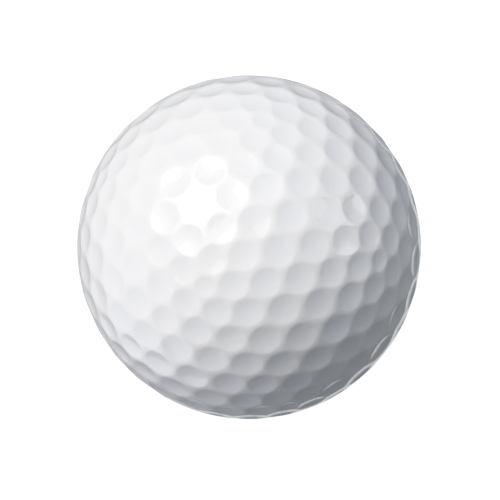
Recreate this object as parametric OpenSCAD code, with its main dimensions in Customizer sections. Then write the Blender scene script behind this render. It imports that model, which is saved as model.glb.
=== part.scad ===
// Golf ball of five moulded layers: inner core, outer core, inner mantle, outer mantle and dimpled cover.
// Each layer around the inner core is two half shells that meet on its parting plane.
// The origin is the centre of the ball. +Z is the pole axis, and the cover parts on the plane z = 0.

/* [Ball] */
// Diameter of the ball over its lands
ball_d = 42.67; // [42.67:0.01:43.2]

/* [Layers] */
// Diameter of the solid inner core
inner_core_d = 24; // [20:0.5:30]
// Wall of the inner mantle
inner_mantle_wall = 0.95; // [0.8:0.05:1.3]
// Wall of the outer mantle
outer_mantle_wall = 0.85; // [0.7:0.05:1.2]
// Wall of the cover, measured under a land
cover_wall = 0.8; // [0.7:0.05:1.2]

/* [Dimple diameters] */
// The 12 dimples on the corners of the icosahedron
corner_d = 2.7; // [2:0.05:2.8]
// Edge dimples next to a corner
edge_end_d = 3.65; // [3:0.05:3.7]
// Edge dimples between those and the middle one
edge_inner_d = 3.7; // [3:0.05:3.8]
// The dimple at the middle of an edge
edge_middle_d = 3.9; // [3:0.05:4]
// Face dimples nearest a corner
face_corner_d = 3.8; // [3:0.05:3.85]
// Face dimples around the middle one
face_ring_d = 4.05; // [3:0.05:4.1]
// The dimple at the middle of a face
face_middle_d = 4.1; // [3:0.05:4.2]

/* [Dimple depth] */
// Angle between the dimple and the ball at the rim, in degrees
rim_angle = 15; // [12:0.5:18]

/* [Hidden] */
// Facets of a full circle, fine enough that the shallow dimples keep their depth
$fn = 180;

ball_r = ball_d / 2;
cover_in_r = ball_r - cover_wall;
outer_mantle_in_r = cover_in_r - outer_mantle_wall;
inner_mantle_in_r = outer_mantle_in_r - inner_mantle_wall;
inner_core_r = inner_core_d / 2;

// Each edge of the icosahedron is divided into this many dimple steps
edge_steps = 6;
// A dimple this close to the plane z = 0 is shared by both cover halves
on_parting = 0.001;
// How far a dimple cutter reaches past the ball
cutter_rise = 0.2;

// Corners of an icosahedron that stands on a corner: two poles, and two rings of five
ring_z = 1 / sqrt(5);
ring_r = 2 / sqrt(5);
function upper_corner(i) = [ring_r * cos(72 * i), ring_r * sin(72 * i), ring_z];
function lower_corner(i) = [ring_r * cos(72 * i + 36), ring_r * sin(72 * i + 36), -ring_z];
TOP = [0, 0, 1];
BOTTOM = [0, 0, -1];

// The 12 corners, 30 edges and 20 faces
CORNERS = concat(
    [TOP, BOTTOM],
    [for (i = [0:4]) upper_corner(i)],
    [for (i = [0:4]) lower_corner(i)]
);
EDGES = concat(
    [for (i = [0:4]) [TOP, upper_corner(i)]],
    [for (i = [0:4]) [upper_corner(i), upper_corner(i + 1)]],
    [for (i = [0:4]) [upper_corner(i), lower_corner(i)]],
    [for (i = [0:4]) [lower_corner(i), upper_corner(i + 1)]],
    [for (i = [0:4]) [lower_corner(i), lower_corner(i + 1)]],
    [for (i = [0:4]) [BOTTOM, lower_corner(i)]]
);
FACES = concat(
    [for (i = [0:4]) [TOP, upper_corner(i), upper_corner(i + 1)]],
    [for (i = [0:4]) [upper_corner(i), lower_corner(i), upper_corner(i + 1)]],
    [for (i = [0:4]) [lower_corner(i), upper_corner(i + 1), lower_corner(i + 1)]],
    [for (i = [0:4]) [BOTTOM, lower_corner(i), lower_corner(i + 1)]]
);

// Dimple diameter by the place's smallest step counts from the sides of its face
function edge_dimple_d(step) =
    let (near = min(step, edge_steps - step))
    near == 1 ? edge_end_d : near == 2 ? edge_inner_d : edge_middle_d;
function face_dimple_d(a, b, c) =
    max(a, b, c) == 4 ? face_corner_d : max(a, b, c) == 3 ? face_ring_d : face_middle_d;

// Every dimple as [direction, diameter]
DIMPLES = concat(
    [for (p = CORNERS) [p, corner_d]],
    [for (e = EDGES, s = [1:edge_steps - 1])
        [e[0] * (edge_steps - s) + e[1] * s, edge_dimple_d(s)]],
    [for (f = FACES, a = [1:edge_steps - 2], b = [1:edge_steps - 1 - a])
        let (c = edge_steps - a - b)
        [f[0] * a + f[1] * b + f[2] * c, face_dimple_d(a, b, c)]]
);

// Half of a spherical shell, on the +Z side of its parting plane
module half_shell(outer_r, inner_r) {
    difference() {
        sphere(outer_r);
        sphere(inner_r);
        translate([0, 0, -outer_r]) cube(2 * outer_r, center = true);
    }
}

// The lens-shaped cutter of one dimple, on the +Z axis: a spherical cap with the rim angle
module dimple_cutter(d) {
    rim_r = d / 2;
    rim_z = sqrt(ball_r * ball_r - rim_r * rim_r);
    bowl_slope = rim_angle - asin(rim_r / ball_r);
    bowl_r = rim_r / sin(bowl_slope);
    bowl_z = rim_z + bowl_r * cos(bowl_slope);
    intersection() {
        translate([0, 0, bowl_z]) sphere(bowl_r);
        translate([0, 0, rim_z - rim_r / 2])
            cylinder(h = rim_r / 2 + ball_r - rim_z + cutter_rise, r = rim_r * 1.02);
    }
}

// Turns the +Z axis to a direction
module toward(v) {
    rotate([0, acos(v.z / norm(v)), atan2(v.y, v.x)]) children();
}

// Half of the cover: side is 1 for the upper half and -1 for the lower
module cover_half(side) {
    difference() {
        rotate([side > 0 ? 0 : 180, 0, 0]) half_shell(ball_r, cover_in_r);
        for (dimple = DIMPLES)
            if (side * dimple[0].z > -on_parting) toward(dimple[0]) dimple_cutter(dimple[1]);
    }
}

module inner_core() {
    color("sandybrown") sphere(inner_core_r);
}

module outer_core_upper() {
    color("orange") half_shell(inner_mantle_in_r, inner_core_r);
}

module outer_core_lower() {
    color("orange") rotate([180, 0, 0]) half_shell(inner_mantle_in_r, inner_core_r);
}

module inner_mantle_front() {
    color("lightgray") rotate([90, 0, 0]) half_shell(outer_mantle_in_r, inner_mantle_in_r);
}

module inner_mantle_rear() {
    color("lightgray") rotate([-90, 0, 0]) half_shell(outer_mantle_in_r, inner_mantle_in_r);
}

module outer_mantle_left() {
    color("gainsboro") rotate([0, -90, 0]) half_shell(cover_in_r, outer_mantle_in_r);
}

module outer_mantle_right() {
    color("gainsboro") rotate([0, 90, 0]) half_shell(cover_in_r, outer_mantle_in_r);
}

module cover_upper() {
    color("white") cover_half(1);
}

module cover_lower() {
    color("white") cover_half(-1);
}

inner_core();
outer_core_upper();
outer_core_lower();
inner_mantle_front();
inner_mantle_rear();
outer_mantle_left();
outer_mantle_right();
cover_upper();
cover_lower();
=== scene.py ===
"""Golf ball: Geometry Nodes press the dimples into the cover, which is then cut into its two halves.
The layers inside keep their CAD shapes and get moulded rubber and ionomer materials."""
import math

import bmesh
import bpy
from mathutils import Matrix, Vector


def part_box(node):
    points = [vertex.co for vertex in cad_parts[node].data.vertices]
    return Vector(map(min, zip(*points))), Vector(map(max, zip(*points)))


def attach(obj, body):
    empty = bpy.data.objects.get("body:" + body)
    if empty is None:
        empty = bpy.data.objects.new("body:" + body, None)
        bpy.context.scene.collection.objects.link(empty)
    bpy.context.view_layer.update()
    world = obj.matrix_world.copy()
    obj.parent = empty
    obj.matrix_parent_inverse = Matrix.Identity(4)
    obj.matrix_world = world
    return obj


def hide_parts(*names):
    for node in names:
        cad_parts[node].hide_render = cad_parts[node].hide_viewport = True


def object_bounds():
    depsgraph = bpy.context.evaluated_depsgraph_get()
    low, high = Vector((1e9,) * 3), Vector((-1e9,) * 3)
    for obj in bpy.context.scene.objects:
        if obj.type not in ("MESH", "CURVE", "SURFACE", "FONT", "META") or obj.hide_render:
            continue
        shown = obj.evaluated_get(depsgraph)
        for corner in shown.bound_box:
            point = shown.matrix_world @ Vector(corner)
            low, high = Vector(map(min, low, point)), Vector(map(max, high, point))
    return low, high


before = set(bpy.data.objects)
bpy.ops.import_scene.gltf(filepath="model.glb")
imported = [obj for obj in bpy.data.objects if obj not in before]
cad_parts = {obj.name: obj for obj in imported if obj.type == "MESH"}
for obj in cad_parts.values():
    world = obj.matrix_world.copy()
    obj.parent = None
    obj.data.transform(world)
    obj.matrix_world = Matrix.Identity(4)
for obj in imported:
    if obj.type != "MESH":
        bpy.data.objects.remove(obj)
cad_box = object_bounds()

# ---------------------------------------------------------------- sizes, in metres and radians
MM = 0.001
BODY = "root"

# The ball's radius and the cover's inner wall are read from the frame
BALL_R = max(v.co.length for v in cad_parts["cover_upper"].data.vertices)
COVER_IN_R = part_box("outer_mantle_left")[1].y

# The dimple pattern repeats the part's: each face of an icosahedron in six steps a side
EDGE_STEPS = 6
CORNER_D = 2.70 * MM
EDGE_D = {1: 3.65 * MM, 2: 3.70 * MM, 3: 3.90 * MM}
FACE_D = {4: 3.80 * MM, 3: 4.05 * MM, 2: 4.10 * MM}
RIM_ANGLE = math.radians(15)

# How round the dimple edges are: a soft edge takes about 0.7 of this off at the rim
EDGE_SOFTNESS = 0.03 * MM

# The cover's net: steps along a side of a dimple's cell, rings as shares of the way to the rim and past it,
# and how near to each other, on a unit sphere, two neighbours' points are one
SIDE_STEPS = 8
BOWL_RINGS = (0.24, 0.46, 0.64, 0.77, 0.87, 0.94, 1.0)
LAND_RINGS = (0.45, 1.0)
MERGE_GAP = 1e-5

# Steps round the cover's inner wall
INNER_STEPS = 72

# Past this many softnesses under a bowl's sphere the exponential is held, far deeper than any dimple is
STEEPEST = 30

# The paint's faint clouds and the clear coat's orange peel, and the deepest point of the deepest dimple
PAINT_CLOUD = 2.5 * MM
PEEL_SIZE = 0.35 * MM
PEEL_DEPTH = 0.002 * MM
DEEPEST = 0.25 * MM

# The inner layers: how deep the rubber's grain stands, the size of the ionomer's flow clouds, its mould
# texture's size and depth, and how far light spreads in it
GRAIN_DEPTH = 0.02 * MM
FLOW_CLOUD = 6 * MM
MOULD_TEXTURE = 0.25 * MM
TEXTURE_DEPTH = 0.005 * MM
MILKY_DEPTH = 0.5 * MM

# ---------------------------------------------------------------- camera and light
# The camera stands AROUND from the front and UP from the parting plane, ROLLed a little, and far off
CAMERA_AROUND = math.radians(32.43)
CAMERA_UP = math.radians(42.40)
CAMERA_ROLL = math.radians(6.45)
CAMERA_AWAY = 1.72
LENS = 1000
CLIP_START = 0.01
CLIP_END = 10
LOWEST = cad_box[0].z

# Soft boxes stand this far from the ball's centre. Each has its direction in the camera's own axes (right,
# up, towards the camera), its width and height, its power in watts and its colour
BOX_AWAY = 0.5
BOXES = {
    "key_box": ((-0.53, 0.47, 0.70), 0.30, 0.28, 1.98, "#FDFBFC"),
    "key_sheen": ((-0.48, 0.44, 0.76), 0.48, 0.48, 1.40, "#FFFDF4"),
    "right_box": ((0.87, 0.26, 0.41), 0.17, 0.17, 0.17, "#ECEFF8"),
    "right_glow": ((0.96, 0.12, 0.20), 0.30, 0.32, 0.07, "#ECEFF8"),
    "left_low_box": ((-0.83, -0.53, -0.15), 0.50, 0.55, 0.73, "#EDEFFF"),
    "top_box": ((0.10, 0.95, -0.25), 0.50, 0.50, 0.20, "#DEE6FA"),
    "right_top_box": ((0.14, 0.72, 0.68), 0.26, 0.20, 0.22, "#E0E8FA"),
    "front_low_box": ((-0.35, -0.45, 0.82), 0.30, 0.30, 0.04, "#DCE6F0"),
}

# The white surround: its faint even fill, and how bright it is where the coat mirrors it, in general and
# towards RIM_SIDE, behind the ball, where it lines the dimples' edges at the outline. RIM_FADE is where
# that brighter part starts and where it is full, as cosines from RIM_SIDE. Then what the camera sees behind
# the ball, the floor's own glow, and half its width in metres
FILL_STRENGTH = 0.064
GLOSS_STRENGTH = 0.06
RIM_SIDE = (0.10, -0.05, -1.0)
RIM_STRENGTH = 0.5
RIM_FADE = (0.91, 0.985)
BACKDROP_STRENGTH = 1.2
FLOOR_GLOW = 0.95
FLOOR_HALF = 3

# The film response's curve: how strongly it holds back the light parts, and its points
SHOULDER = 2.5
SHOULDER_STEPS = 8


# ---------------------------------------------------------------- the dimple pattern
def ring_corner(degrees, z):
    """A corner of the icosahedron on the ring at height z."""
    angle = math.radians(degrees)
    radius = math.sqrt(1 - z * z)
    return Vector((radius * math.cos(angle), radius * math.sin(angle), z))


def icosahedron_faces():
    """The 20 faces, each three corners on the unit sphere, standing on a corner as the part does."""
    ring_z = 1 / math.sqrt(5)
    top, bottom = Vector((0, 0, 1)), Vector((0, 0, -1))
    for turn in range(0, 360, 72):
        upper, upper_next = ring_corner(turn, ring_z), ring_corner(turn + 72, ring_z)
        lower, lower_next = ring_corner(turn + 36, -ring_z), ring_corner(turn + 108, -ring_z)
        yield top, upper, upper_next
        yield upper, lower, upper_next
        yield lower, lower_next, upper_next
        yield bottom, lower_next, lower


def dimple_diameter(a, b, c):
    """A dimple's size by its step counts from the three sides of its face."""
    nearest, middle, farthest = sorted((a, b, c))
    if middle == 0:
        return CORNER_D
    return EDGE_D[middle] if nearest == 0 else FACE_D[farthest]


def dimple_lattice():
    """Every dimple's direction and diameter, and the triangles of neighbouring dimples."""
    directions, diameters, triangles, known = [], [], [], {}
    for corners in icosahedron_faces():
        grid = {}
        for a in range(EDGE_STEPS + 1):
            for b in range(EDGE_STEPS + 1 - a):
                c = EDGE_STEPS - a - b
                place = (a * corners[0] + b * corners[1] + c * corners[2]).normalized()
                key = tuple(round(x, 4) for x in place)
                if key not in known:
                    known[key] = len(directions)
                    directions.append(place)
                    diameters.append(dimple_diameter(a, b, c))
                grid[a, b] = known[key]
        for a in range(EDGE_STEPS):
            for b in range(EDGE_STEPS - a):
                triangles.append((grid[a, b], grid[a + 1, b], grid[a, b + 1]))
                if a + b < EDGE_STEPS - 1:
                    triangles.append((grid[a + 1, b], grid[a + 1, b + 1], grid[a, b + 1]))
    return directions, diameters, triangles


def rim_polar(diameter):
    """The angle at the ball's centre between a dimple's axis and its rim."""
    return math.asin(diameter / 2 / BALL_R)


def bowl_sphere(diameter):
    """How far out the sphere of a dimple's bowl is centred, and its radius, for the rim angle."""
    slope = RIM_ANGLE - rim_polar(diameter)
    radius = diameter / 2 / math.sin(slope)
    return BALL_R * math.cos(rim_polar(diameter)) + radius * math.cos(slope), radius


def cell_outlines(directions, diameters, triangles):
    """Each dimple's cell as corners in order round it. A corner lies as far past each of three rims."""
    cells = [[] for _ in directions]
    for triangle in triangles:
        axes = Matrix([directions[i] for i in triangle])
        rims = Vector([math.cos(rim_polar(diameters[i])) for i in triangle])
        corner = (axes.inverted() @ rims).normalized()
        for i in triangle:
            cells[i].append(corner)
    for axis, cell in zip(directions, cells):
        east = axis.orthogonal().normalized()
        north = axis.cross(east)
        cell.sort(key=lambda corner: math.atan2(corner.dot(north), corner.dot(east)))
    return cells


def side_points(start, end):
    """Points along one side of a cell, without its end. A side across the parting plane has one on it."""
    middle = (start + end).normalized()
    if start.z * end.z < 0:
        middle = start * abs(end.z) + end * abs(start.z)
        middle.z = 0
        middle.normalize()
    shares = [k / (SIDE_STEPS // 2) for k in range(SIDE_STEPS // 2)]
    halves = ((start, middle), (middle, end))
    return [near.lerp(far, share).normalized() for near, far in halves for share in shares]


def cover_net(directions, diameters, cells):
    """A net on the unit sphere: rings round each dimple, out to the sides that its cell shares."""
    rings = [(share, 0) for share in BOWL_RINGS] + [(1, share) for share in LAND_RINGS]
    places, faces = [], []
    for axis, diameter, cell in zip(directions, diameters, cells):
        rim = rim_polar(diameter)
        outline = [p for k in range(len(cell)) for p in side_points(cell[k - 1], cell[k])]
        centre = len(places)
        places.append(axis)
        for to_rim, past_rim in rings:
            for point in outline:
                polar = rim * to_rim + (axis.angle(point) - rim) * past_rim
                outward = (point - axis * point.dot(axis)).normalized()
                places.append(axis * math.cos(polar) + outward * math.sin(polar))
        spokes = len(outline)
        for spoke in range(spokes):
            turned = (spoke + 1) % spokes
            faces.append((centre, centre + 1 + spoke, centre + 1 + turned))
            for ring in range(len(rings) - 1):
                near = centre + 1 + ring * spokes
                far = near + spokes
                faces.append((near + spoke, far + spoke, far + turned, near + turned))
    return places, faces


# ---------------------------------------------------------------- node trees
def add_node(tree, kind, inputs=None, **settings):
    """Adds a node. settings are its properties, inputs are values or sockets to link, by name or number."""
    node = tree.nodes.new(kind)
    for name, value in settings.items():
        setattr(node, name, value)
    for name, value in (inputs or {}).items():
        if isinstance(value, bpy.types.NodeSocket):
            tree.links.new(value, node.inputs[name])
        else:
            node.inputs[name].default_value = value
    return node


def dimple_press():
    """The Geometry Nodes tree that presses the dimples into a net on the unit sphere.
    Each point of Bowls is the centre of a sphere of radius bowl_r. What lies inside it is taken off.
    The depth taken off is summed as softness * ln(1 + exp(-height / softness)), which rounds the edge."""
    tree = bpy.data.node_groups.new("dimple_press", "GeometryNodeTree")
    tree.interface.new_socket("Net", in_out="INPUT", socket_type="NodeSocketGeometry")
    tree.interface.new_socket("Cover", in_out="OUTPUT", socket_type="NodeSocketGeometry")
    for name, kind in (
        ("Bowls", "NodeSocketObject"),
        ("Ball Radius", "NodeSocketFloat"),
        ("Edge Softness", "NodeSocketFloat"),
        ("Paint", "NodeSocketMaterial"),
    ):
        tree.interface.new_socket(name, in_out="INPUT", socket_type=kind)
    given = add_node(tree, "NodeGroupInput").outputs

    bowls = add_node(tree, "GeometryNodeObjectInfo", {"Object": given["Bowls"]}).outputs["Geometry"]
    size = add_node(tree, "GeometryNodeAttributeDomainSize", {"Geometry": bowls})
    count = size.outputs["Point Count"]
    merged = add_node(
        tree, "GeometryNodeMergeByDistance", {"Geometry": given["Net"], "Distance": MERGE_GAP}
    )
    uncut = add_node(
        tree,
        "GeometryNodeStoreNamedAttribute",
        {"Geometry": merged.outputs["Geometry"], "Name": "depth", "Value": 0.0},
    )

    # One pass for each bowl
    enter = add_node(tree, "GeometryNodeRepeatInput")
    leave = add_node(tree, "GeometryNodeRepeatOutput")
    enter.pair_with_output(leave)
    tree.links.new(count, enter.inputs["Iterations"])
    tree.links.new(uncut.outputs["Geometry"], enter.inputs["Geometry"])
    turn = enter.outputs["Iteration"]
    here = add_node(tree, "GeometryNodeInputPosition").outputs["Position"]
    bowl_r = add_node(tree, "GeometryNodeInputNamedAttribute", {"Name": "bowl_r"}).outputs["Attribute"]
    centre = add_node(
        tree,
        "GeometryNodeSampleIndex",
        {"Geometry": bowls, "Value": here, "Index": turn},
        data_type="FLOAT_VECTOR",
    ).outputs["Value"]
    radius = add_node(
        tree, "GeometryNodeSampleIndex", {"Geometry": bowls, "Value": bowl_r, "Index": turn}
    ).outputs["Value"]

    # Height of the bowl's sphere above the ball, along the line from the ball's centre through this point
    math_node = "ShaderNodeMath"
    vector_math = "ShaderNodeVectorMath"
    ball_r, softness = given["Ball Radius"], given["Edge Softness"]
    along = add_node(tree, vector_math, {0: here, 1: centre}, operation="DOT_PRODUCT").outputs["Value"]
    far = add_node(tree, vector_math, {0: centre, 1: centre}, operation="DOT_PRODUCT").outputs["Value"]
    along_squared = add_node(tree, math_node, {0: along, 1: along}, operation="MULTIPLY").outputs[0]
    radius_squared = add_node(tree, math_node, {0: radius, 1: radius}, operation="MULTIPLY").outputs[0]
    inside = add_node(tree, math_node, {0: along_squared, 1: far}, operation="SUBTRACT").outputs[0]
    chord = add_node(tree, math_node, {0: inside, 1: radius_squared}, operation="ADD").outputs[0]
    real_chord = add_node(tree, math_node, {0: chord, 1: 0.0}, operation="MAXIMUM").outputs[0]
    root = add_node(tree, math_node, {0: real_chord}, operation="SQRT").outputs[0]
    surface = add_node(tree, math_node, {0: along, 1: root}, operation="SUBTRACT").outputs[0]
    height = add_node(tree, math_node, {0: surface, 1: ball_r}, operation="SUBTRACT").outputs[0]

    # Depth taken off by this bowl, rounded at the rim. On the far side of the ball it is nothing
    down = add_node(tree, math_node, {0: height, 1: -1.0}, operation="MULTIPLY").outputs[0]
    steep = add_node(tree, math_node, {0: down, 1: softness}, operation="DIVIDE").outputs[0]
    held = add_node(tree, math_node, {0: steep, 1: STEEPEST}, operation="MINIMUM").outputs[0]
    grown = add_node(tree, math_node, {0: held}, operation="EXPONENT").outputs[0]
    more = add_node(tree, math_node, {0: grown, 1: 1.0}, operation="ADD").outputs[0]
    rounded = add_node(tree, math_node, {0: more, 1: math.e}, operation="LOGARITHM").outputs[0]
    taken = add_node(tree, math_node, {0: rounded, 1: softness}, operation="MULTIPLY").outputs[0]
    near_side = add_node(tree, math_node, {0: along, 1: ball_r}, operation="GREATER_THAN").outputs[0]
    so_far = add_node(tree, "GeometryNodeInputNamedAttribute", {"Name": "depth"}).outputs["Attribute"]
    total = add_node(
        tree, math_node, {0: taken, 1: near_side, 2: so_far}, operation="MULTIPLY_ADD"
    ).outputs[0]
    cut = add_node(
        tree,
        "GeometryNodeStoreNamedAttribute",
        {"Geometry": enter.outputs["Geometry"], "Name": "depth", "Value": total},
    )
    tree.links.new(cut.outputs["Geometry"], leave.inputs["Geometry"])

    depth = add_node(tree, "GeometryNodeInputNamedAttribute", {"Name": "depth"}).outputs["Attribute"]
    reach = add_node(tree, math_node, {0: ball_r, 1: depth}, operation="SUBTRACT").outputs[0]
    place = add_node(tree, vector_math, {0: here, "Scale": reach}, operation="SCALE").outputs["Vector"]
    pressed = add_node(
        tree, "GeometryNodeSetPosition", {"Geometry": leave.outputs["Geometry"], "Position": place}
    )
    smooth = add_node(tree, "GeometryNodeSetShadeSmooth", {"Geometry": pressed.outputs["Geometry"]})
    real = add_node(tree, "GeometryNodeRealizeInstances", {"Geometry": smooth.outputs["Geometry"]})
    painted = add_node(
        tree, "GeometryNodeSetMaterial", {"Geometry": real.outputs["Geometry"], "Material": given["Paint"]}
    )
    add_node(tree, "NodeGroupOutput", {"Cover": painted.outputs["Geometry"]})
    return tree


def linear(hex_colour):
    """An sRGB hex colour as linear RGBA."""
    shares = [int(hex_colour[i : i + 2], 16) / 255 for i in (1, 3, 5)]
    return [c / 12.92 if c <= 0.04045 else ((c + 0.055) / 1.055) ** 2.4 for c in shares] + [1.0]


def blank_material(name):
    """A new material: its tree, its shader, and the object's own coordinates."""
    material = bpy.data.materials.new(name)
    material.use_nodes = True
    tree = material.node_tree
    shader = tree.nodes["Principled BSDF"]
    place = add_node(tree, "ShaderNodeTexCoord").outputs["Object"]
    return material, tree, shader, place


# ---------------------------------------------------------------- materials
def painted_cover():
    """White polyurethane paint under a clear gloss coat, sprayed on the moulded ionomer cover.
    The bowls are painted a touch cooler and darker than the lands, a painted shade in the hollows. The
    paint is also faintly mottled, and the coat has a fine orange peel, so that its highlights are not quite
    even."""
    material, tree, shader, place = blank_material("white_paint_and_clear_coat")
    depth = add_node(tree, "ShaderNodeAttribute", attribute_name="depth").outputs["Fac"]
    # Painted shade: the deeper a point lies in a bowl, the cooler and slightly darker its white is painted
    # (#F0F1F4 against the lands' #F4F4F2)
    bowl_shade = add_node(
        tree, "ShaderNodeMapRange", {"Value": depth, "From Min": 0.0, "From Max": DEEPEST}
    ).outputs["Result"]
    white = add_node(
        tree,
        "ShaderNodeMix",
        {"Factor": bowl_shade, "A": linear("#F4F4F2"), "B": linear("#F0F1F4")},
        data_type="RGBA",
    )
    cloud = add_node(
        tree, "ShaderNodeTexNoise", {"Vector": place, "Scale": 1 / PAINT_CLOUD, "Detail": 3.0}
    ).outputs["Fac"]
    thin = add_node(
        tree, "ShaderNodeMapRange", {"Value": cloud, "From Min": 0.45, "From Max": 0.75, "To Max": 0.5}
    ).outputs["Result"]
    mottled = add_node(
        tree,
        "ShaderNodeMix",
        {"Factor": thin, "A": white.outputs[2], "B": linear("#E9EAEC")},
        data_type="RGBA",
    )
    tree.links.new(mottled.outputs[2], shader.inputs["Base Color"])

    # The coat's own height, which bends only what it mirrors. It is a little duller in the peel's lows
    peel = add_node(
        tree, "ShaderNodeTexNoise", {"Vector": place, "Scale": 1 / PEEL_SIZE, "Detail": 1.0}
    ).outputs["Fac"]
    bump = add_node(tree, "ShaderNodeBump", {"Height": peel, "Distance": PEEL_DEPTH, "Strength": 1.0})
    tree.links.new(bump.outputs["Normal"], shader.inputs["Coat Normal"])
    gloss = add_node(
        tree, "ShaderNodeMapRange", {"Value": peel, "To Min": 0.09, "To Max": 0.05}
    ).outputs["Result"]
    tree.links.new(gloss, shader.inputs["Coat Roughness"])
    shader.inputs["Coat Weight"].default_value = 1.0
    shader.inputs["Coat IOR"].default_value = 1.5
    shader.inputs["Roughness"].default_value = 0.45
    shader.inputs["IOR"].default_value = 1.52
    return material


def moulded_rubber(name, colour, fleck, grain):
    """Cross-linked polybutadiene, pressed in a hot mould: matt, with flecks of filler grain across."""
    material, tree, shader, place = blank_material(name)
    specks = add_node(
        tree, "ShaderNodeTexNoise", {"Vector": place, "Scale": 1 / grain, "Detail": 4.0, "Roughness": 0.65}
    ).outputs["Fac"]
    share = add_node(
        tree, "ShaderNodeMapRange", {"Value": specks, "From Min": 0.52, "From Max": 0.68}
    ).outputs["Result"]
    mixed = add_node(
        tree, "ShaderNodeMix", {"Factor": share, "A": linear(colour), "B": linear(fleck)}, data_type="RGBA"
    )
    tree.links.new(mixed.outputs[2], shader.inputs["Base Color"])
    matt = add_node(
        tree, "ShaderNodeMapRange", {"Value": specks, "To Min": 0.5, "To Max": 0.68}
    ).outputs["Result"]
    tree.links.new(matt, shader.inputs["Roughness"])
    bump = add_node(tree, "ShaderNodeBump", {"Height": specks, "Distance": GRAIN_DEPTH, "Strength": 0.6})
    tree.links.new(bump.outputs["Normal"], shader.inputs["Normal"])
    shader.inputs["IOR"].default_value = 1.52
    return material


def moulded_ionomer(name, colour, cloud):
    """Ionomer, injection moulded: a milky, waxy skin with faint flow clouds and a fine mould texture."""
    material, tree, shader, place = blank_material(name)
    flow = add_node(
        tree,
        "ShaderNodeTexNoise",
        {"Vector": place, "Scale": 1 / FLOW_CLOUD, "Detail": 2.0, "Distortion": 0.8},
    ).outputs["Fac"]
    mixed = add_node(
        tree, "ShaderNodeMix", {"Factor": flow, "A": linear(colour), "B": linear(cloud)}, data_type="RGBA"
    )
    tree.links.new(mixed.outputs[2], shader.inputs["Base Color"])
    texture = add_node(
        tree, "ShaderNodeTexNoise", {"Vector": place, "Scale": 1 / MOULD_TEXTURE, "Detail": 2.0}
    ).outputs["Fac"]
    satin = add_node(
        tree, "ShaderNodeMapRange", {"Value": texture, "To Min": 0.3, "To Max": 0.42}
    ).outputs["Result"]
    tree.links.new(satin, shader.inputs["Roughness"])
    bump = add_node(tree, "ShaderNodeBump", {"Height": texture, "Distance": TEXTURE_DEPTH, "Strength": 0.5})
    tree.links.new(bump.outputs["Normal"], shader.inputs["Normal"])
    shader.inputs["IOR"].default_value = 1.51
    shader.inputs["Subsurface Weight"].default_value = 0.15
    shader.inputs["Subsurface Radius"].default_value = (1.0, 0.9, 0.8)
    shader.inputs["Subsurface Scale"].default_value = MILKY_DEPTH
    return material


PAINT = painted_cover()
BARE_COVER = moulded_ionomer("injection_moulded_ionomer_cover_stock", "#EDEBE3", "#E2DFD4")


# ---------------------------------------------------------------- the cover
def mesh_object(name, places, faces):
    mesh = bpy.data.meshes.new(name)
    mesh.from_pydata([tuple(p) for p in places], [], faces)
    made = bpy.data.objects.new(name, mesh)
    bpy.context.scene.collection.objects.link(made)
    return made


def pressed_cover():
    """The whole dimpled skin as one mesh."""
    directions, diameters, triangles = dimple_lattice()
    spheres = [bowl_sphere(d) for d in diameters]
    bowls = mesh_object("bowl_centres", [p * out for p, (out, _) in zip(directions, spheres)], [])
    bowl_r = bowls.data.attributes.new("bowl_r", "FLOAT", "POINT")
    bowl_r.data.foreach_set("value", [r for _, r in spheres])
    cells = cell_outlines(directions, diameters, triangles)
    net = mesh_object("cover_net", *cover_net(directions, diameters, cells))
    press = net.modifiers.new("press", "NODES")
    press.node_group = dimple_press()
    sockets = {s.name: s.identifier for s in press.node_group.interface.items_tree if s.in_out == "INPUT"}
    press[sockets["Bowls"]] = bowls
    press[sockets["Ball Radius"]] = BALL_R
    press[sockets["Edge Softness"]] = EDGE_SOFTNESS
    press[sockets["Paint"]] = PAINT
    evaluated = net.evaluated_get(bpy.context.evaluated_depsgraph_get())
    skin = bpy.data.meshes.new_from_object(evaluated)
    for used in (net, bowls):
        bpy.data.objects.remove(used)
    return skin


SKIN = pressed_cover()


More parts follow.
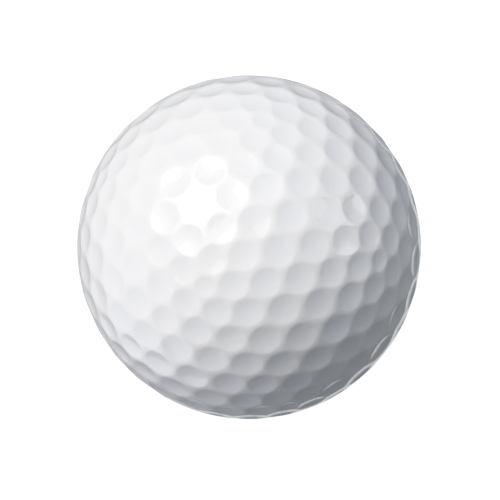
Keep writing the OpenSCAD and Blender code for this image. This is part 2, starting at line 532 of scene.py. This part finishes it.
def cover_half(name, side):
    """One moulded half: its side of the skin, the flat joint with the other half, and the inner wall."""
    mesh = bmesh.new()
    mesh.from_mesh(SKIN)
    skin_point = mesh.verts.layers.int.new("skin_point")
    for vert in mesh.verts:
        vert[skin_point] = vert.index
    other_side = [f for f in mesh.faces if f.calc_center_median().z * side < 0]
    bmesh.ops.delete(mesh, geom=other_side, context="FACES")
    for edge in mesh.edges:
        if edge.is_boundary:
            for vert in edge.verts:
                vert.co.z = 0

    # The wall on the mantle, from the joint to the pole
    turns = [k * math.tau / INNER_STEPS for k in range(INNER_STEPS)]
    rings = []
    for step in range(INNER_STEPS // 4):
        radius = COVER_IN_R * math.cos(turns[step])
        z = COVER_IN_R * math.sin(turns[step]) * side
        rings.append([mesh.verts.new((radius * math.cos(a), radius * math.sin(a), z)) for a in turns])
    pole = mesh.verts.new((0, 0, COVER_IN_R * side))
    wall = []
    for k in range(INNER_STEPS):
        for low, high in zip(rings, rings[1:]):
            wall.append(mesh.faces.new((low[k - 1], high[k - 1], high[k], low[k])))
        wall.append(mesh.faces.new((rings[-1][k - 1], pole, rings[-1][k])))
    for face in wall:
        face.smooth = True

    # The joint, from the skin's rim to the wall's
    rims = [e for e in mesh.edges if e.is_boundary]
    joint = bmesh.ops.triangle_fill(mesh, use_beauty=True, edges=rims, normal=(0, 0, -side))["geom"]
    bare = wall + [f for f in joint if isinstance(f, bmesh.types.BMFace)]
    for face in bare:
        face.material_index = 1
        face.normal_update()
        outward = Vector((0, 0, side)) if face not in wall else face.calc_center_median()
        if face.normal.dot(outward) > 0:
            face.normal_flip()
    made = bpy.data.meshes.new(name)
    mesh.to_mesh(made)
    mesh.free()
    made.materials.clear()
    made.materials.append(PAINT)
    made.materials.append(BARE_COVER)

    # The skin keeps the whole ball's normals, so the joint is as hidden as on a buffed and painted ball
    points = made.attributes["skin_point"].data
    normals = [(0, 0, 0)] * len(made.loops)
    for polygon in made.polygons:
        if polygon.material_index == 0:
            for loop in polygon.loop_indices:
                point = points[made.loops[loop].vertex_index].value
                normals[loop] = SKIN.vertex_normals[point].vector
    made.normals_split_custom_set(normals)
    made.attributes.remove(made.attributes["skin_point"])
    half = bpy.data.objects.new(name, made)
    bpy.context.scene.collection.objects.link(half)
    return half


for name, node, side in (
    ("painted_cover_upper", "cover_upper", 1),
    ("painted_cover_lower", "cover_lower", -1),
):
    half = cover_half(name, side)
    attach(half, BODY)
    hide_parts(node)

# ---------------------------------------------------------------- the layers inside
INNER_CORE = moulded_rubber("compression_moulded_rubber_inner_core", "#CC5C1F", "#E07B3A", 0.8 * MM)
OUTER_CORE = moulded_rubber("compression_moulded_rubber_outer_core", "#2A619E", "#4C7FB8", 0.6 * MM)
INNER_MANTLE = moulded_ionomer("injection_moulded_ionomer_inner_mantle", "#8C9985", "#7F8D7A")
OUTER_MANTLE = moulded_ionomer("injection_moulded_ionomer_outer_mantle", "#E4E4DE", "#D8D9D3")
LAYERS = {
    "inner_core": INNER_CORE,
    "outer_core_upper": OUTER_CORE,
    "outer_core_lower": OUTER_CORE,
    "inner_mantle_front": INNER_MANTLE,
    "inner_mantle_rear": INNER_MANTLE,
    "outer_mantle_left": OUTER_MANTLE,
    "outer_mantle_right": OUTER_MANTLE,
}
for node, material in LAYERS.items():
    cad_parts[node].data.materials.clear()
    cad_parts[node].data.materials.append(material)


# ---------------------------------------------------------------- camera, floor and light
# The camera's own directions: its local X points right, Y up and Z back, away from the ball
CAMERA_TURN = (
    Matrix.Rotation(CAMERA_AROUND, 3, "Z")
    @ Matrix.Rotation(math.pi / 2 - CAMERA_UP, 3, "X")
    @ Matrix.Rotation(CAMERA_ROLL, 3, "Z")
)
# How far the camera stands to the right of the ball and below it, so that the ball lies as framed
CAMERA_ASIDE = Vector((0.11 * MM, -0.36 * MM, 0))


def add_camera():
    camera = bpy.data.objects.new("camera", bpy.data.cameras.new("camera"))
    camera.data.lens = LENS
    camera.data.clip_start = CLIP_START
    camera.data.clip_end = CLIP_END
    place = CAMERA_TURN @ (CAMERA_ASIDE + Vector((0, 0, CAMERA_AWAY)))
    camera.matrix_world = Matrix.LocRotScale(place, CAMERA_TURN, None)
    bpy.context.scene.collection.objects.link(camera)
    bpy.context.scene.camera = camera


def soft_box(name, direction, width, height, power, colour):
    """A lit rectangle that faces the ball."""
    lamp = bpy.data.lights.new(name, "AREA")
    lamp.shape = "RECTANGLE"
    lamp.size, lamp.size_y = width, height
    lamp.energy = power
    lamp.color = linear(colour)[:3]
    outward = CAMERA_TURN @ Vector(direction).normalized()
    box = bpy.data.objects.new(name, lamp)
    box.matrix_world = Matrix.LocRotScale(outward * BOX_AWAY, outward.to_track_quat("Z", "Y"), None)
    bpy.context.scene.collection.objects.link(box)


def add_world():
    """White all round for the camera, a dimmer surround for the coat to mirror, and a faint cool fill."""
    world = bpy.data.worlds.new("studio")
    bpy.context.scene.world = world
    world.use_nodes = True
    tree = world.node_tree
    tree.nodes.clear()
    path = add_node(tree, "ShaderNodeLightPath").outputs
    background = "ShaderNodeBackground"
    fill = add_node(tree, background, {"Color": linear("#DDE8F0"), "Strength": FILL_STRENGTH})
    toward = add_node(tree, "ShaderNodeTexCoord").outputs["Generated"]
    rim_side = CAMERA_TURN @ Vector(RIM_SIDE).normalized()
    facing = add_node(
        tree, "ShaderNodeVectorMath", {0: toward, 1: rim_side}, operation="DOT_PRODUCT"
    ).outputs["Value"]
    strength = add_node(
        tree,
        "ShaderNodeMapRange",
        {
            "Value": facing,
            "From Min": RIM_FADE[0],
            "From Max": RIM_FADE[1],
            "To Min": GLOSS_STRENGTH,
            "To Max": RIM_STRENGTH,
        },
        interpolation_type="SMOOTHSTEP",
    ).outputs["Result"]
    gloss = add_node(tree, background, {"Color": linear("#F2FAFF"), "Strength": strength})
    white = add_node(tree, background, {"Color": linear("#FFFFFF"), "Strength": BACKDROP_STRENGTH})
    lit = add_node(
        tree,
        "ShaderNodeMixShader",
        {0: path["Is Glossy Ray"], 1: fill.outputs["Background"], 2: gloss.outputs["Background"]},
    )
    seen = add_node(
        tree,
        "ShaderNodeMixShader",
        {0: path["Is Camera Ray"], 1: lit.outputs["Shader"], 2: white.outputs["Background"]},
    )
    add_node(tree, "ShaderNodeOutputWorld", {"Surface": seen.outputs["Shader"]})


def add_floor():
    """A lit white sheet under the ball, seen only from above. The coat mirrors the surround instead."""
    corners = [(x * FLOOR_HALF, y * FLOOR_HALF, LOWEST) for x, y in ((-1, -1), (1, -1), (1, 1), (-1, 1))]
    floor = mesh_object("floor", corners, [(0, 1, 2, 3)])
    material = bpy.data.materials.new("white_paper_sweep")
    material.use_nodes = True
    tree = material.node_tree
    tree.nodes.clear()
    paper = add_node(
        tree,
        "ShaderNodeBsdfPrincipled",
        {
            "Base Color": linear("#E6E6E6"),
            "Roughness": 0.9,
            "Emission Color": linear("#FFFFFF"),
            "Emission Strength": FLOOR_GLOW,
        },
    ).outputs["BSDF"]
    back = add_node(tree, "ShaderNodeNewGeometry").outputs["Backfacing"]
    clear = add_node(tree, "ShaderNodeBsdfTransparent").outputs["BSDF"]
    one_sided = add_node(tree, "ShaderNodeMixShader", {0: back, 1: paper, 2: clear}).outputs["Shader"]
    add_node(tree, "ShaderNodeOutputMaterial", {"Surface": one_sided})
    floor.data.materials.append(material)
    floor.visible_diffuse = False
    floor.visible_glossy = False
    floor.visible_shadow = False


def add_film_response():
    """A film's shoulder: the light parts are held back, so white paint keeps its shape in full light."""
    view = bpy.context.scene.view_settings
    view.view_transform = "Standard"
    view.use_curve_mapping = True
    curves = view.curve_mapping
    points = curves.curves[3].points
    for step in range(1, SHOULDER_STEPS):
        light = step / SHOULDER_STEPS
        shown = (1 - math.exp(-SHOULDER * light)) / (1 - math.exp(-SHOULDER))
        points.new(light, shown)
    curves.update()


add_camera()
for name, box in BOXES.items():
    soft_box(name, *box)
# The sheen is only mirrored: it gives the far edges of the dimples round the highlight bright crescents
bpy.data.objects["key_sheen"].visible_diffuse = False
add_world()
add_floor()
add_film_response()
